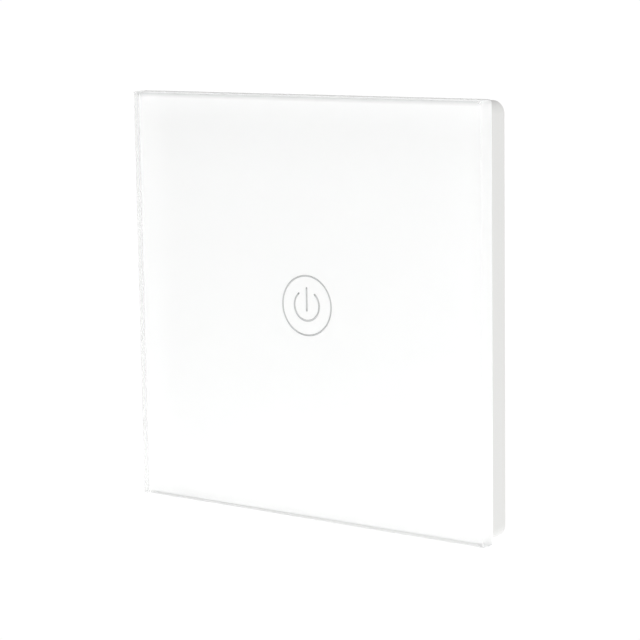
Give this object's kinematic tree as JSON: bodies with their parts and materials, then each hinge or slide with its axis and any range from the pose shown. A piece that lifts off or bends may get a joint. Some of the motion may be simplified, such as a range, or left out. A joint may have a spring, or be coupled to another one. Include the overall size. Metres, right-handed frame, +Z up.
{
  "type": "touch light switch",
  "caption": "Square wall switch with a white glass touch panel on a plastic frame, a push-fit wall plate, and a rear box with relay, boards and screw terminals.",
  "frame": {"origin": "centre of the mounting plate's wall side, midway between the fixing slots, on the wall plane", "axes": "+Z up, +Y into the wall, so the glass faces -Y and +X is to the right seen from the front"},
  "size_m": [0.086, 0.0353, 0.086],
  "materials": {
    "clear_glass": "clear polished glass with ground edges",
    "white_print": "opaque white print behind the glass",
    "sign_ink": "grey ink",
    "tape": "grey foam tape",
    "frame_plastic": "light grey moulded plastic",
    "plate_plastic": "white moulded plastic, fine texture",
    "housing_plastic": "white moulded plastic, fine texture",
    "guide_plastic": "frosted light guide",
    "spring_steel": "bright spring wire",
    "led": "LED lens",
    "touch_laminate": "green solder mask",
    "power_laminate": "pale green laminate",
    "black_plastic": "black moulding",
    "chip_ceramic": "tan chip bodies",
    "zinc_steel": "zinc plated steel",
    "gilt_pins": "gilt pins",
    "tin_pins": "tinned leads",
    "relay_blue": "blue relay case",
    "bobbin_plastic": "ivory bobbin",
    "copper_wire": "enamelled copper winding",
    "soft_iron": "soft iron",
    "contact_copper": "copper alloy",
    "ferrite": "dark ferrite",
    "coil_tape": "yellow coil tape",
    "can_sleeve": "dark sleeve",
    "film_case": "yellow case",
    "varistor_coat": "blue epoxy coat",
    "fuse_ceramic": "ceramic body",
    "terminal_green": "green terminal block",
    "terminal_brass": "brass"
  },
  "bodies": {
    "base": {"mounting_plate": "plate_plastic", "light_guide": "guide_plastic", "touch_spring": "spring_steel", "indicator_leds": "led", "touch_board": "touch_laminate", "touch_chip": "black_plastic", "chip_parts": "chip_ceramic", "board_screws": "zinc_steel", "header_body": "black_plastic", "header_pins": "gilt_pins", "power_board": "power_laminate", "relay_base": "black_plastic", "relay_case": "relay_blue", "relay_pins": "tin_pins", "relay_bobbin": "bobbin_plastic", "relay_winding": "copper_wire", "relay_yoke": "soft_iron", "relay_contact": "contact_copper", "transformer_core": "ferrite", "transformer_coil": "coil_tape", "smoothing_capacitor": "can_sleeve", "film_capacitor": "film_case", "varistor": "varistor_coat", "fuse": "fuse_ceramic", "rectifier": "black_plastic", "terminal_body": "terminal_green", "terminal_bars": "terminal_brass", "rear_housing": "housing_plastic", "housing_screws": "zinc_steel"},
    "front_panel": {"glass_panel": "clear_glass", "panel_print": "white_print", "touch_sign": "sign_ink", "bond_tape": "tape", "front_frame": "frame_plastic"},
    "armature": {"relay_armature": "soft_iron", "relay_blade": "contact_copper"},
    "screw_1": {"terminal_screw_1": "zinc_steel"},
    "cage_1": {"terminal_cage_1": "terminal_brass"},
    "screw_2": {"terminal_screw_2": "zinc_steel"},
    "cage_2": {"terminal_cage_2": "terminal_brass"},
    "screw_3": {"terminal_screw_3": "zinc_steel"},
    "cage_3": {"terminal_cage_3": "terminal_brass"}
  },
  "joints": [
    {"name": "panel_pull", "type": "slide", "parent": "base", "child": "front_panel", "axis": [0, -1, 0], "range_m": [0, 0.025]},
    {"name": "armature_rock", "type": "hinge", "parent": "base", "child": "armature", "pos_m": [-0.0127, 0.02055, 0.01425], "axis": [0, 0, -1], "range_deg": [0, 4], "stiffness_Nm_per_rad": 0.002, "springref_deg": -5.73},
    {"name": "screw_1_turn", "type": "hinge", "parent": "base", "child": "screw_1", "pos_m": [-0.01, 0.0242, -0.01855], "axis": [0, -1, 0], "range_deg": [0, 2160]},
    {"name": "cage_1_rise", "type": "slide", "parent": "base", "child": "cage_1", "axis": [0, 1, 0], "range_m": [0, 0.0036]},
    {"name": "screw_2_turn", "type": "hinge", "parent": "base", "child": "screw_2", "pos_m": [0, 0.0242, -0.01855], "axis": [0, -1, 0], "range_deg": [0, 2160]},
    {"name": "cage_2_rise", "type": "slide", "parent": "base", "child": "cage_2", "axis": [0, 1, 0], "range_m": [0, 0.0036]},
    {"name": "screw_3_turn", "type": "hinge", "parent": "base", "child": "screw_3", "pos_m": [0.01, 0.0242, -0.01855], "axis": [0, -1, 0], "range_deg": [0, 2160]},
    {"name": "cage_3_rise", "type": "slide", "parent": "base", "child": "cage_3", "axis": [0, 1, 0], "range_m": [0, 0.0036]}
  ],
  "couplings": [
    {"joint": "screw_1_turn", "follows": "cage_1_rise", "rad_per_m": 10472},
    {"joint": "screw_2_turn", "follows": "cage_2_rise", "rad_per_m": 10472},
    {"joint": "screw_3_turn", "follows": "cage_3_rise", "rad_per_m": 10472}
  ]
}
